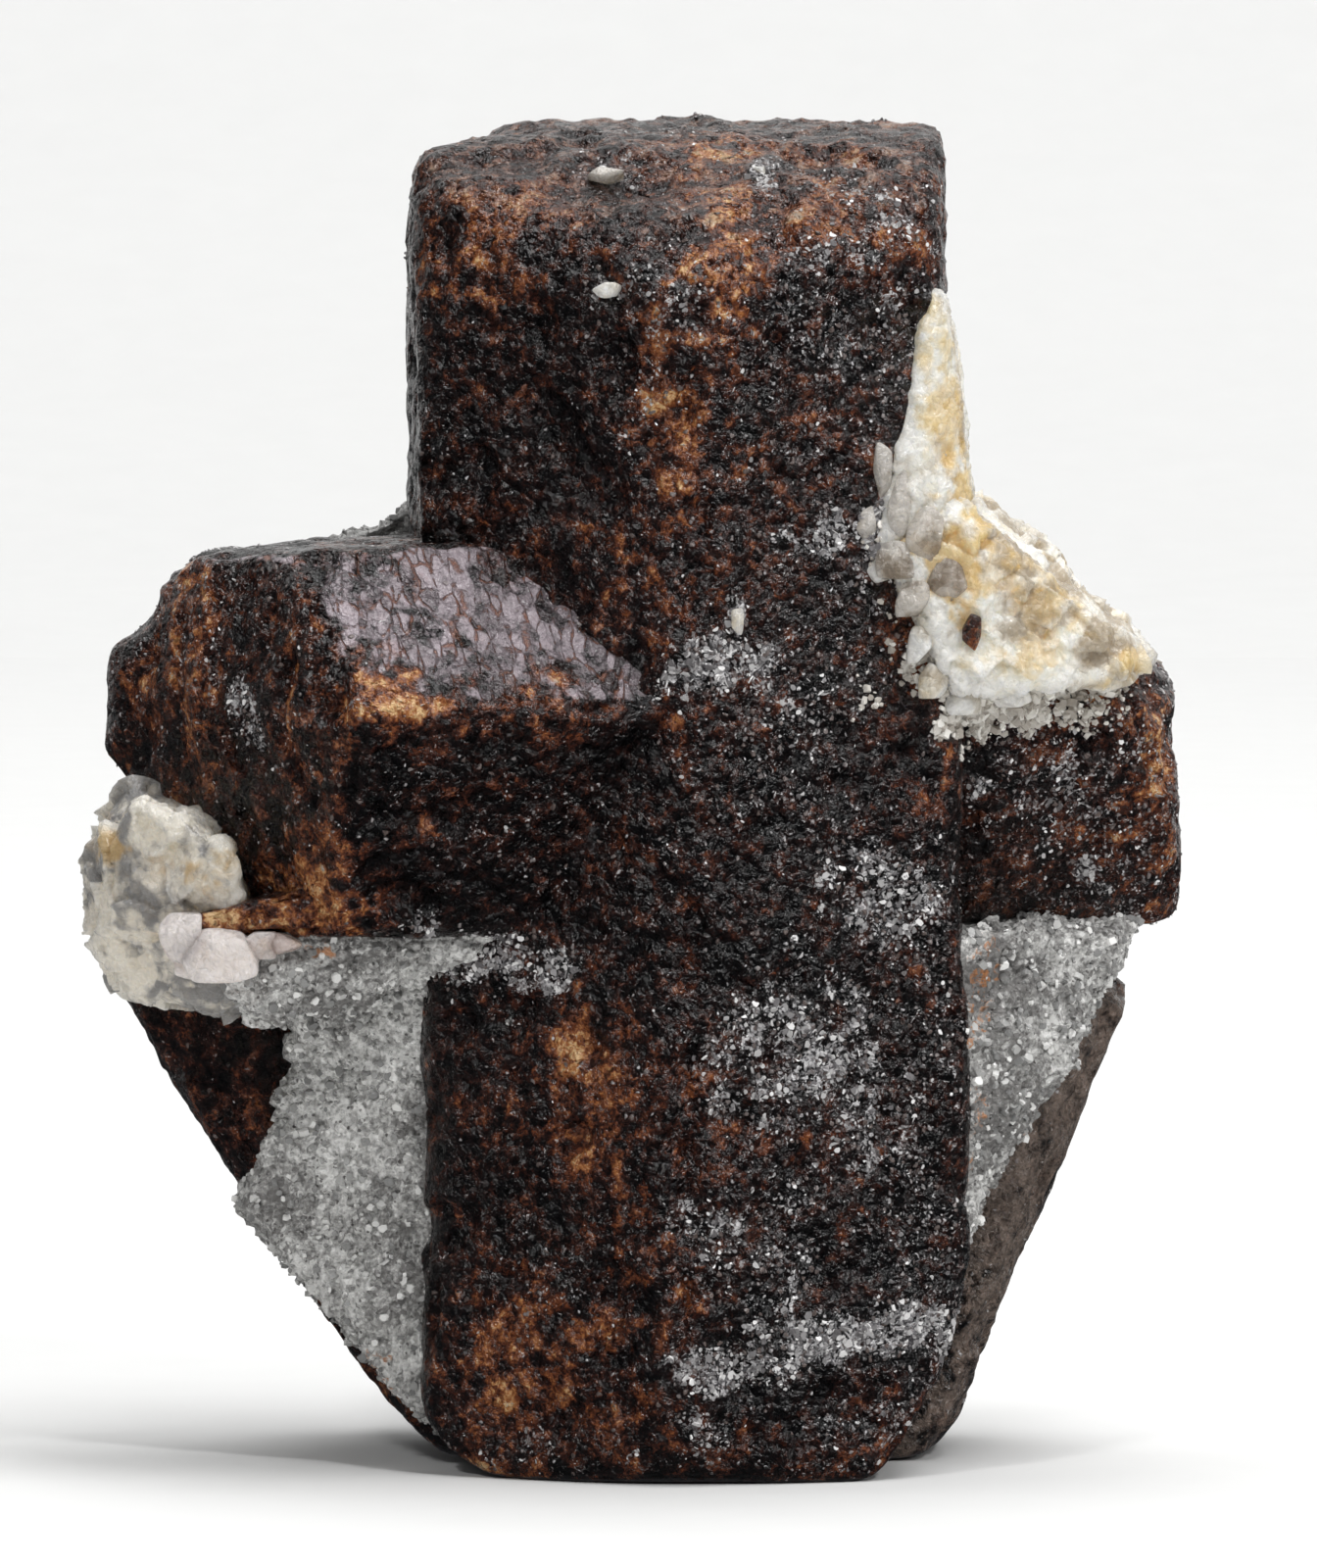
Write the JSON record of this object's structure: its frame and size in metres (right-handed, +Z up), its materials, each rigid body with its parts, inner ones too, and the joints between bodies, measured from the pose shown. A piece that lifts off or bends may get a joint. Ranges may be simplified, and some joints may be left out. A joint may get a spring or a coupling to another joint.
{
  "type": "staurolite cross twin in schist",
  "caption": "Natural mineral specimen: dark red-brown staurolite crystals grown through each other as an upright cross, with grey schist and white quartz in the corners.",
  "frame": {"origin": "middle of the bounding box in plan, at the level of the broken foot that it stands on", "axes": "+Z up along the upright crystal, +X to the right along the cross crystal, -Y towards the front"},
  "size_m": [0.0252, 0.0161, 0.0306],
  "materials": {
    "staurolite": "dark red-brown crystal, dull to waxy, with rusty stains and fine bright specks",
    "schist": "fine-grained grey mica schist, rough and matt",
    "white_quartz": "milky quartz, white to honey yellow, glassy on fresh breaks",
    "grey_quartz": "grey, half-clear quartz, lumpy and shiny",
    "pink_quartz": "pale pinkish quartz, smooth and rounded"
  },
  "bodies": {
    "root": {"staurolite_cross": "staurolite", "schist_left": "schist", "schist_right": "schist", "schist_back": "schist", "quartz_right": "white_quartz", "quartz_left": "grey_quartz", "quartz_grains": "pink_quartz"}
  },
  "joints": []
}
